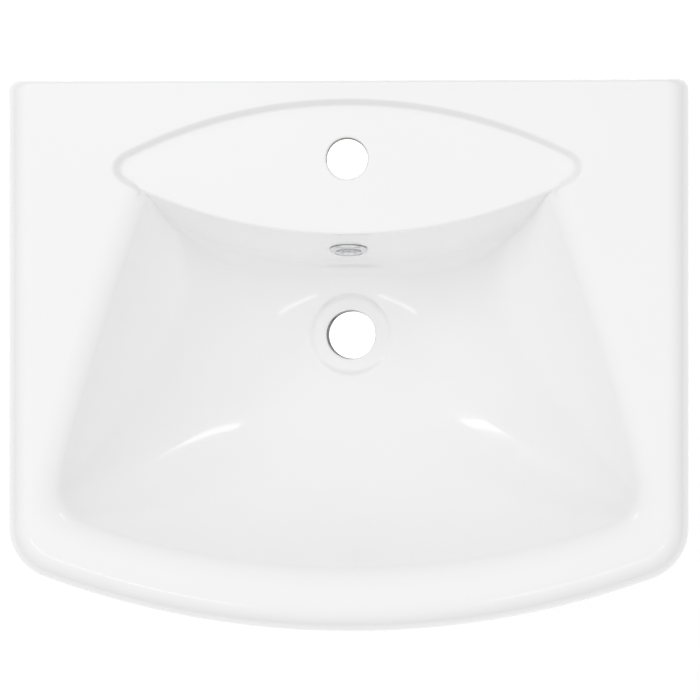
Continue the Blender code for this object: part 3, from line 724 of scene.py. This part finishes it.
def makeBasin():
    piece = ringSheet("glazedBasin", bowlRings())
    joinPieces(piece, ringSheet("ledgeSkin", leafRings()), ringSheet("outerSkin", outerRings()))
    mergeDoubles(piece, 2e-6)
    closeUp(piece)
    combine(piece, rod("wasteOutlet", basin["wasteBore"] - 0.0001, (0, wasteY, basinLow.z - 0.01),
                       (0, wasteY, basinLow.z + 0.014), 96))
    combine(piece, rearPocket())
    duct, shell = overflowAt, basin["shell"]
    wall, tuck, clear = duct["wall"], duct["tuck"], duct["clear"]
    back = overflowMouth.y + shell + duct["gap"] + wall
    half = duct["channelWidth"] / 2 + wall
    floorZ = basinLow.z + duct["aboveFoot"]
    combine(piece, channelBody("channel", half, shell / 2, back, floorZ - wall,
                               overflowZ + duct["channelTop"]), "UNION")
    combine(piece, block("channelLink", (-half + tuck, wasteY + duct["linkFront"], floorZ - wall + clear),
                         (half - tuck, back - tuck, floorZ + duct["linkHeight"]), 0.002), "UNION")
    combine(piece, channelBody("channelRoom", half - wall, shell, back - wall, floorZ,
                               overflowZ + duct["roomTop"]))
    combine(piece, block("channelFoot", (wall - half + clear, wasteY, floorZ + clear),
                         (half - wall - clear, back - wall - tuck, floorZ + duct["footHeight"]), 0.001))
    combine(piece, rod("overflowHole", duct["bore"], overflowMouth + overflowOut * duct["holeFront"],
                       overflowMouth - overflowOut * duct["holeBack"]))
    softHole(piece, "waste", wasteY, rimZ - basin["bowlDepth"])
    softHole(piece, "tap", tapY, rimZ - basin["leafDrop"])
    for sign in (-1, 1):
        x, z = sign * basin["studSpacing"] / 2, rimZ - basin["studDrop"]
        combine(piece, rod("studHole", basin["studHole"], (x, backY - 2 * shell, z), (x, backY + shell, z)))
    smoothByAngle(piece, 42)
    return piece


glazedBasin = makeBasin()
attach(glazedBasin, "root")
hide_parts("basin")
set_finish(glazedBasin, "ceramic")
print("basin done:", len(glazedBasin.data.polygons), "faces")


def frontHalf(half, front, radius, corner, cornerCount=17, arcCount=34):
    # right-hand half of a bowed front, from the side line to the middle
    middle, run, cornerY, turn = bowedCorner(half, front, radius, corner)
    return np.concatenate([arcPoints((run, cornerY), corner, 0, turn, cornerCount),
                           arcPoints((0, middle), radius, turn, -math.pi / 2, arcCount)[1:]])


def pedestalOutline(z):
    half, front = pedestalSize(z)
    rear, turn = pedestal["rear"], pedestal["rearCorner"]
    straight = np.stack([np.linspace(pedestal["openBack"], half - turn, 7),
                         np.full(7, rear)], axis=1)[:-1]
    corner = arcPoints((half - turn, rear - turn), turn, math.pi / 2, 0, 11)
    face = frontHalf(half, front, half + pedestal["arcMore"], pedestal["corner"])
    side = np.linspace(corner[-1], face[0], 20)[1:-1]
    right = np.concatenate([straight, corner, side, face])
    return atHeight(np.concatenate([right, mirrored(right)[1:]]), z)


def makePedestal():
    # rings stand closer in the flared foot and head, and run past both cut ends
    over, footTop, headFoot = 0.014, 0.10, pedestalHeight - 0.12
    heights = np.concatenate([np.linspace(-over, footTop, 20), np.linspace(footTop, headFoot, 22)[1:],
                              np.linspace(headFoot, pedestalHeight + over, 20)[1:]])
    piece = ringSheet("glazedPedestal", [pedestalOutline(z) for z in heights], closed=False)
    foremost = min(piece.data.polygons, key=lambda face: face.center.y)
    if foremost.normal.y > 0:
        inEditMode(piece, bpy.ops.mesh.flip_normals)
    wall = piece.modifiers.new("wall", "SOLIDIFY")
    wall.thickness = pedestal["wall"]
    wall.offset = -1
    wall.use_even_offset = True
    applyModifiers(piece)
    for z, up in ((0, -1), (pedestalHeight, 1)):
        inEditMode(piece, lambda: bpy.ops.mesh.bisect(plane_co=(0, 0, z), plane_no=(0, 0, up),
                                                      use_fill=True, clear_outer=True))
    faceOutward(piece)
    bevelEdges(piece, pedestal["edgeRound"], 60, 3)
    halfFoot = pedestalSize(0)[0]
    for sign in (-1, 1):
        x, y = sign * (halfFoot - pedestal["lugInset"]), pedestal["rear"] - pedestal["lugFromRear"]
        half = pedestal["lugWidth"] / 2
        outer = sign * (pedestalSize(pedestal["lugThick"])[0] - pedestal["wall"] / 2)
        inner = x - sign * half
        thick = pedestal["lugThick"]
        lug = block("lug", (min(inner, outer), y - half, pedestal["lugLift"]),
                    (max(inner, outer), pedestal["rear"] - pedestal["wall"] / 2, thick), pedestal["lugRound"])
        combine(piece, lug, "UNION")
        combine(piece, rod("lugHole", pedestal["lugHole"], (x, y, -0.01), (x, y, thick + 0.01)))
    smoothByAngle(piece, 42)
    return piece


glazedPedestal = makePedestal()
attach(glazedPedestal, "root")
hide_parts("pedestal")
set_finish(glazedPedestal, "ceramic")
print("pedestal done:", len(glazedPedestal.data.polygons), "faces")


gasket = {"inset": 0.0009, "gap": 0.0003, "thick": 0.003, "round": 0.0008}


def makeGasket():
    half, front = pedestalSize(pedestalHeight)
    wall = pedestal["wall"]
    radius = half + pedestal["arcMore"]
    lines = []
    for inset in (gasket["inset"], wall - gasket["inset"]):
        start = [[half - inset, pedestal["rear"] - 2 * pedestal["rearCorner"]]]
        right = np.concatenate([start, frontHalf(half - inset, front + inset, radius - inset,
                                                 pedestal["corner"] - inset)])
        lines.append(np.concatenate([right, mirrored(right)[1:]]))
    outer, inner = lines
    low, high = pedestalHeight + gasket["gap"], pedestalHeight + gasket["gap"] + gasket["thick"]
    soft = gasket["round"] / (wall - 2 * gasket["inset"])
    rise = gasket["round"] / gasket["thick"]
    section = [(soft, 0), (1 - soft, 0), (1, rise), (1, 1 - rise), (1 - soft, 1), (soft, 1),
               (0, 1 - rise), (0, rise)]
    rings = [[[*(a + (b - a) * share), low + (high - low) * lift] for share, lift in section]
             for a, b in zip(outer, inner)]
    piece = ringSheet("rubberStrip", rings)
    closeUp(piece)
    smoothByAngle(piece, 35)
    return piece


rubberStrip = makeGasket()
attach(rubberStrip, "root")
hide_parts("head_gasket")
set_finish(rubberStrip, "rubber")


overflowRing = turnedPiece(
    "chromeOverflowRing",
    [(0.0107, 0.0008), (0.0110, 0.0016), (0.0117, 0.0022), (0.0128, 0.0025), (0.0142, 0.0024),
     (0.0154, 0.0019), (0.0161, 0.0012), (0.0165, 0.0003), (0.0165, 0.0), (0.0127, 0.0),
     (0.0127, -0.009), (0.0107, -0.009)],
    overflowMouth + overflowOut * 0.0006, overflowOut, 96)
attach(overflowRing, "root")
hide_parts("overflow_ring")
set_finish(overflowRing, "chrome")
print("strip and overflow ring done")


wallFixing = {
    "stud": 0.005, "length": 0.0417, "pitch": 0.0015, "threadDepth": 0.0008, "gap": 0.0003,
    "sleeveWall": 0.0025, "flange": 0.013, "flangeThick": 0.003, "washer": 0.0105, "washerThick": 0.002,
    "nutAcross": 0.017, "nutThick": 0.008, "capReach": 0.033, "capWall": 0.0015, "capRound": 0.005,
    "capRoundInside": 0.0035, "capRim": 0.0003,
}


def makeNut(name, base, direction, across, thick, bore):
    corner = across / 2 / math.cos(math.pi / 6)
    base, direction = Vector(base), Vector(direction)
    piece = rod(name, corner, base, base + direction * thick, 6)
    tool = turnedPiece("chamfer", [(0, thick), (corner * 0.90, thick), (corner * 1.02, thick - 0.0014),
                                   (corner * 1.02, 0.0014), (corner * 0.90, 0), (0, 0)],
                       base, direction, 72)
    combine(piece, tool, "INTERSECT")
    combine(piece, rod("bore", bore, base - direction * thick, base + direction * 2 * thick, 48))
    bevelEdges(piece, 0.0003, 40, 2)
    smoothByAngle(piece, 30)
    return piece


def roundedTop(radius, height, rounding, angles):
    # the rounded upper corner of a turned profile
    bend = [math.radians(angle) for angle in angles]
    return [(radius - rounding + rounding * math.cos(a), height - rounding + rounding * math.sin(a))
            for a in bend]


def addFixing(piece, node, slot):
    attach(piece, "root")
    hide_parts(node)
    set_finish(piece, slot)


def makeWallFixing(side, sign):
    size = wallFixing
    x, z = sign * basin["studSpacing"] / 2, rimZ - basin["studDrop"]
    inward = (0, -1, 0)
    shell, gap = basin["shell"], size["gap"]
    face = backY - shell
    stud, length = size["stud"], size["length"]
    rows = np.linspace(0.0006, length - 0.0016, 150)
    profile = [(0, length), (stud - 0.0010, length), (stud - 0.0002, length - 0.0010)]
    profile += [(stud, height) for height in rows[::-1]]
    profile += [(stud, 0), (0, 0)]
    thread = {"from": 0.0008, "to": length - 0.0018, "pitch": size["pitch"], "depth": size["threadDepth"]}
    addFixing(turnedPiece("wallStud_" + side, profile, (x, backY - gap, z), inward, 24, thread),
              "wall_stud_" + side, "zinc_steel")
    bore, tube, flange = stud + gap, stud + gap + size["sleeveWall"], size["flange"]
    top = shell + size["flangeThick"]
    addFixing(turnedPiece("nylonSleeve_" + side,
                          [(bore, top), (flange - 0.0012, top), (flange - 0.0004, top - 0.0004),
                           (flange, top - 0.0012), (flange, shell + gap), (tube, shell + gap), (tube, 0.0006),
                           (tube - 0.0006, 0), (bore, 0)], (x, backY - gap, z), inward, 56),
              "stud_sleeve_" + side, "nylon")
    washerY = face - size["flangeThick"] - 2 * gap
    thick, washer = size["washerThick"], size["washer"]
    addFixing(turnedPiece("steelWasher_" + side,
                          [(bore, thick), (washer - 0.0006, thick), (washer, thick - 0.0005), (washer, 0.0003),
                           (washer - 0.0003, 0), (bore, 0)], (x, washerY, z), inward, 56),
              "stud_washer_" + side, "zinc_steel")
    nutY = washerY - thick - gap
    piece = makeNut("steelNut_" + side, (x, nutY, z), inward, size["nutAcross"], size["nutThick"], stud + gap)
    addFixing(piece, "stud_nut_" + side, "zinc_steel")
    inside = size["nutAcross"] / 2 / math.cos(math.pi / 6) + gap
    wall = size["capWall"]
    outside = inside + wall
    depth = size["capReach"] - (face - nutY) + 2 * wall
    rim = outside + size["capRim"]
    profile = [(0, depth + wall), *roundedTop(outside, depth + wall, size["capRound"], range(90, -1, -10)),
               (outside, 0.0022), (rim, 0.0018), (rim, 0.0006), (outside, 0), (inside, 0),
               *roundedTop(inside, depth, size["capRoundInside"], range(0, 91, 10)), (0, depth)]
    addFixing(turnedPiece("nutCap_" + side, profile, (x, nutY, z), inward, 56),
              "stud_cap_" + side, "cap_plastic")


floorFixing = {
    "shank": 0.003, "head": 0.006, "headThick": 0.004, "gap": 0.0003, "sleeveWall": 0.002,
    "flange": 0.0095, "flangeThick": 0.002, "pitch": 0.0026, "threadDepth": 0.0008, "capWall": 0.0015,
    "capRound": 0.003, "capRoundInside": 0.0012,
}


def makeFloorFixing(side, sign):
    size = floorFixing
    x = sign * (pedestalSize(0)[0] - pedestal["lugInset"])
    y = pedestal["rear"] - pedestal["lugFromRear"]
    gap, shank, head, wall = size["gap"], size["shank"], size["head"], size["capWall"]
    bore, tube, flange = shank + gap, shank + gap + size["sleeveWall"], size["flange"]
    lugTop = pedestal["lugThick"] + gap
    top = lugTop + size["flangeThick"]
    up = (0, 0, 1)
    addFixing(turnedPiece("screwSleeve_" + side,
                          [(bore, top), (flange - 0.0008, top), (flange, top - 0.0008), (flange, lugTop),
                           (tube, lugTop), (tube, gap + 0.0005), (tube - 0.0005, gap), (bore, gap)],
                          (x, y, 0), up, 48), "floor_screw_sleeve_" + side, "nylon")
    headZ = top + gap
    crown = headZ + size["headThick"]
    rows = np.linspace(gap + 0.0012, headZ - 0.004, 60)
    profile = [(0, crown), (head * 0.35, crown - 0.0001), (head * 0.6, crown - 0.0004),
               (head * 0.8, crown - 0.0010), (head * 0.93, crown - 0.0019), (head, headZ + 0.0008),
               (head, headZ), (shank, headZ)]
    profile += [(shank, height) for height in rows[::-1]]
    profile += [(shank - 0.0008, gap), (0, gap)]
    thread = {"from": gap + 0.0014, "to": headZ - 0.0045, "pitch": size["pitch"],
              "depth": size["threadDepth"]}
    addFixing(turnedPiece("floorScrew_" + side, profile, (x, y, 0), up, 32, thread),
              "floor_screw_" + side, "zinc_steel")
    inside, outside = head + 2 * gap, head + 2 * gap + wall
    ceiling = size["headThick"] + 2 * gap
    profile = [(0, ceiling + wall),
               *roundedTop(outside, ceiling + wall, size["capRound"], range(90, -1, -15)),
               (outside, 0), (inside, 0),
               *roundedTop(inside, ceiling, size["capRoundInside"], range(0, 91, 15)), (0, ceiling)]
    addFixing(turnedPiece("screwCap_" + side, profile, (x, y, headZ), up, 48),
              "floor_screw_cap_" + side, "cap_plastic")


for side, sign in (("left", -1), ("right", 1)):
    makeWallFixing(side, sign)
    makeFloorFixing(side, sign)
print("wall and floor fixings done")


def setInputs(node, values):
    for name, value in values.items():
        node.inputs[name].default_value = value


def newMaterial(name):
    material = bpy.data.materials.new(name)
    material.use_nodes = True
    nodes, links = material.node_tree.nodes, material.node_tree.links
    shader = nodes["Principled BSDF"]
    place = nodes.new("ShaderNodeTexCoord")
    return material, nodes, links, shader, place.outputs["Object"]


def noiseAt(nodes, links, place, scale, detail):
    noise = nodes.new("ShaderNodeTexNoise")
    setInputs(noise, {"Scale": scale, "Detail": detail})
    links.new(place, noise.inputs["Vector"])
    return noise.outputs["Fac"]


def spread(nodes, links, source, low, high, start=0.3, end=0.7):
    remap = nodes.new("ShaderNodeMapRange")
    setInputs(remap, {"From Min": start, "From Max": end, "To Min": low, "To Max": high})
    links.new(source, remap.inputs["Value"])
    return remap.outputs["Result"]


def tint(nodes, links, source, first, second):
    ramp = nodes.new("ShaderNodeValToRGB")
    for stop, place, colour in zip(ramp.color_ramp.elements, (0.3, 0.7), (first, second)):
        stop.position, stop.color = place, (*colour, 1)
    links.new(source, ramp.inputs["Fac"])
    return ramp.outputs["Color"]


def bumpFrom(nodes, links, source, distance, strength=1.0, onto=None):
    bump = nodes.new("ShaderNodeBump")
    setInputs(bump, {"Distance": distance, "Strength": strength})
    links.new(source, bump.inputs["Height"])
    if onto:
        links.new(onto, bump.inputs["Normal"])
    return bump.outputs["Normal"]


glaze = {
    "deep": (0.938, 0.938, 0.938), "thin": (0.953, 0.953, 0.953), "roughLow": 0.10, "roughHigh": 0.17,
    "coat": 0.7, "coatRoughness": 0.035, "index": 1.52, "tintScale": 4.5, "roughScale": 60,
    "waveScale": 9, "waveDepth": 0.0005, "waveStrength": 0.35,
    "grainScale": 700, "grainDepth": 0.000012, "grainStrength": 0.5,
}


def makeGlaze():
    material, nodes, links, shader, place = newMaterial("glazedCeramic")
    clouds = noiseAt(nodes, links, place, glaze["tintScale"], 3)
    links.new(tint(nodes, links, clouds, glaze["deep"], glaze["thin"]), shader.inputs["Base Color"])
    smears = noiseAt(nodes, links, place, glaze["roughScale"], 3)
    links.new(spread(nodes, links, smears, glaze["roughLow"], glaze["roughHigh"]), shader.inputs["Roughness"])
    setInputs(shader, {"IOR": glaze["index"], "Coat Weight": glaze["coat"],
                       "Coat Roughness": glaze["coatRoughness"]})
    wave = bumpFrom(nodes, links, noiseAt(nodes, links, place, glaze["waveScale"], 1), glaze["waveDepth"],
                    glaze["waveStrength"])
    grain = bumpFrom(nodes, links, noiseAt(nodes, links, place, glaze["grainScale"], 1), glaze["grainDepth"],
                     glaze["grainStrength"], wave)
    links.new(grain, shader.inputs["Normal"])
    links.new(wave, shader.inputs["Coat Normal"])
    return material


finishes = {
    "chrome": {"tints": ((0.74, 0.745, 0.755), (0.80, 0.80, 0.81)), "rough": (0.05, 0.12),
               "metallic": 1.0, "scale": 120, "bump": 0.000004},
    "zinc_steel": {"tints": ((0.52, 0.53, 0.55), (0.68, 0.69, 0.70)), "rough": (0.26, 0.44),
                   "metallic": 1.0, "scale": 420, "bump": 0.00001},
    "nylon": {"tints": ((0.80, 0.80, 0.77), (0.86, 0.86, 0.84)), "rough": (0.38, 0.52),
              "scale": 900, "bump": 0.00002},
    "cap_plastic": {"tints": ((0.84, 0.84, 0.84), (0.88, 0.88, 0.88)), "rough": (0.22, 0.34),
                    "scale": 650, "bump": 0.00001, "coat": 0.25},
    "rubber": {"tints": ((0.045, 0.045, 0.048), (0.09, 0.09, 0.095)), "rough": (0.62, 0.85),
               "scale": 1100, "bump": 0.00004},
}


def makeFinish(name):
    look = finishes[name]
    material, nodes, links, shader, place = newMaterial(name)
    speckle = noiseAt(nodes, links, place, look["scale"], 4)
    broad = noiseAt(nodes, links, place, look["scale"] / 12, 2)
    links.new(tint(nodes, links, broad, *look["tints"]), shader.inputs["Base Color"])
    links.new(spread(nodes, links, speckle, *look["rough"]), shader.inputs["Roughness"])
    setInputs(shader, {"Metallic": look.get("metallic", 0), "Coat Weight": look.get("coat", 0)})
    links.new(bumpFrom(nodes, links, speckle, look["bump"]), shader.inputs["Normal"])
    return material


clay = {
    "bareClay": ((0.74, 0.73, 0.70), (0.82, 0.81, 0.78)),
    # the bores' clay is a darker copy of the bare clay, painted shade on the hole walls
    "shadedBoreClay": ((0.34, 0.335, 0.32), (0.44, 0.435, 0.42)),
    "tintScale": 240, "roughScale": 500, "rough": (0.70, 0.90), "bumpScale": 900, "bump": 0.00008,
}


def makeClay(name):
    # unglazed ceramic, where the piece stands, meets the wall or was bored; the bores' copy is darker, painted
    # shade on the hole walls
    material, nodes, links, shader, place = newMaterial(name)
    stain = noiseAt(nodes, links, place, clay["tintScale"], 4)
    links.new(tint(nodes, links, stain, *clay[name]), shader.inputs["Base Color"])
    dust = noiseAt(nodes, links, place, clay["roughScale"], 3)
    links.new(spread(nodes, links, dust, *clay["rough"]), shader.inputs["Roughness"])
    grit = noiseAt(nodes, links, place, clay["bumpScale"], 3)
    links.new(bumpFrom(nodes, links, grit, clay["bump"]), shader.inputs["Normal"])
    return material


def isBore(face):
    # the walls of the waste and tap holes, which take the clay darkened as painted shade
    spot, near, steep = face.center, 0.0009, 0.5
    for y, radius, top in ((wasteY, basin["wasteBore"], rimZ - basin["bowlDepth"] - 0.0018),
                           (tapY, basin["tapBore"], rimZ - basin["leafDrop"] - 0.0015)):
        away = math.hypot(spot.x, spot.y - y)
        if away < radius + near and spot.z < top and abs(face.normal.z) < steep:
            return True
    return False


def liesOn(face, axis, level, sign, near=0.0003, square=0.9):
    # whether a face lies on a plane and looks along its axis
    return (face.center[axis] - level) * sign > -near and face.normal[axis] * sign > square


def isBackOrFoot(face):
    return liesOn(face, 1, backY, 1) or liesOn(face, 2, basinLow.z, -1)


def isPedestalEnd(face):
    return liesOn(face, 2, 0, -1, 0.0006) or liesOn(face, 2, pedestalHeight, 1, 0.0004)


materials = {name: makeFinish(name) for name in finishes}
materials["ceramic"] = makeGlaze()
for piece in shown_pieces():
    piece.data.materials.clear()
    piece.data.materials.append(materials[piece["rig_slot"]])
bareClay, shadedBoreClay = makeClay("bareClay"), makeClay("shadedBoreClay")
# the bore faces take the darker clay, painted shade inside the holes
for piece, material, isBare in ((glazedBasin, bareClay, isBackOrFoot), (glazedBasin, shadedBoreClay, isBore),
                                (glazedPedestal, bareClay, isPedestalEnd)):
    piece.data.materials.append(material)
    for face in piece.data.polygons:
        if isBare(face):
            face.material_index = len(piece.data.materials) - 1
print("materials done")


studio = {
    "floorSize": 9.0, "floorDrop": 0.0006, "floorTint": ((0.88, 0.88, 0.88), (0.90, 0.90, 0.90)),
    "floorRoughness": 0.6, "floorGlow": 0.22, "skyLight": 0.88, "horizonLight": 0.42, "skyFrom": 0.68,
    "backdrop": 0.80,
    "key": {"place": (-1.5, 1.5, 3.0), "width": 1.8, "height": 1.8, "power": 12.0},
    "streak": {"away": 2.5, "width": 0.66, "height": 0.11, "power": 0.62},
    "front": {"away": 2.5, "turn": 37, "rise": 53, "width": 1.3, "height": 0.10, "power": 0.9},
    "fill": {"place": (0.3, -2.2, 2.5), "width": 2.0, "height": 1.0, "power": 4.0},
    "hollow": {"x": -0.01, "z": 0.45, "width": 0.08, "height": 0.08, "power": 0.85},
    "behind": {"away": 0.25, "z": 0.45, "width": 0.30, "height": 0.30, "power": 0.5},
}


def makeFloor():
    deselectAll()
    bpy.ops.mesh.primitive_plane_add(size=studio["floorSize"], location=(0, 0, -studio["floorDrop"]))
    floor = bpy.context.object
    floor.name = "studioFloor"
    material, nodes, links, shader, place = newMaterial("paleFloor")
    links.new(tint(nodes, links, noiseAt(nodes, links, place, 3, 2), *studio["floorTint"]),
              shader.inputs["Base Color"])
    setInputs(shader, {"Roughness": studio["floorRoughness"], "Emission Color": (1, 1, 1, 1),
                       "Emission Strength": studio["floorGlow"]})
    floor.data.materials.append(material)


def makeWorld():
    world = bpy.data.worlds.new("studio")
    bpy.context.scene.world = world
    world.use_nodes = True
    back = world.node_tree.nodes["Background"]
    back.inputs["Color"].default_value = (1, 1, 1, 1)
    nodes, links = world.node_tree.nodes, world.node_tree.links
    split = nodes.new("ShaderNodeSeparateXYZ")
    links.new(nodes.new("ShaderNodeTexCoord").outputs["Generated"], split.inputs["Vector"])
    light = spread(nodes, links, split.outputs["Z"], studio["horizonLight"], studio["skyLight"], 0.0,
                   studio["skyFrom"])
    # the eye sees an even backdrop
    choose = nodes.new("ShaderNodeMix")
    links.new(nodes.new("ShaderNodeLightPath").outputs["Is Camera Ray"], choose.inputs["Factor"])
    links.new(light, choose.inputs["A"])
    choose.inputs["B"].default_value = studio["backdrop"]
    links.new(choose.outputs["Result"], back.inputs["Strength"])


def addLight(name, place, target, look, reflected=True):
    data = bpy.data.lights.new(name, "AREA")
    data.shape = "RECTANGLE"
    data.size, data.size_y, data.energy = look["width"], look["height"], look["power"]
    lamp = bpy.data.objects.new(name, data)
    bpy.context.collection.objects.link(lamp)
    lamp.location = place
    lamp.rotation_euler = (Vector(target) - Vector(place)).to_track_quat("-Z", "Y").to_euler()
    lamp.visible_camera = False
    lamp.visible_glossy = reflected


def addLights():
    middle = Vector((0, 0, rimZ - 0.08))
    key, fill, streak, front = (studio[name] for name in ("key", "fill", "streak", "front"))
    addLight("keyLight", key["place"], middle, key, False)
    # each softbox shows as a highlight at its spot on the bowl
    for name, spot, aim in (("softboxRight", (-0.116, -0.067, 0.754), (0.467, 0.586, 0.662)),
                            ("softboxLeft", (0.121, -0.063, 0.754), (-0.549, 0.511, 0.661))):
        addLight(name, Vector(spot) + Vector(aim).normalized() * streak["away"], spot, streak)
    turn, rise = math.radians(front["turn"]), math.radians(front["rise"])
    for name, sign in (("softboxFrontLeft", -1), ("softboxFrontRight", 1)):
        flat = math.cos(rise)
        aim = Vector((sign * math.sin(turn) * flat, -math.cos(turn) * flat, math.sin(rise)))
        addLight(name, middle + aim * front["away"], middle, front)
    addLight("fillLight", fill["place"], middle, fill, False)
    hollow, behind = studio["hollow"], studio["behind"]
    x = hollow["x"]
    addLight("hollowLight", (x, wasteY, hollow["z"]), (x, wasteY + 0.001, 0), hollow, False)
    addLight("rearLight", (0, backY + behind["away"], behind["z"]), (0, backY, 0), behind, False)


makeFloor()
makeWorld()
addLights()

view = {"place": (0.05, 0.005), "above": 1.8, "lean": 0.0263, "lens": 109.9, "sensor": 36}
camera = bpy.data.objects.new("camera", bpy.data.cameras.new("camera"))
bpy.context.collection.objects.link(camera)
camera.location = (*view["place"], rimZ + view["above"])
camera.rotation_euler = (0, view["lean"], 0)
camera.data.lens, camera.data.sensor_width = view["lens"], view["sensor"]
camera.data.clip_start, camera.data.clip_end = 0.05, 50
bpy.context.scene.camera = camera
bpy.context.scene.view_settings.view_transform = "Standard"
print("floor, lights and camera done")

bpy.context.view_layer.update()
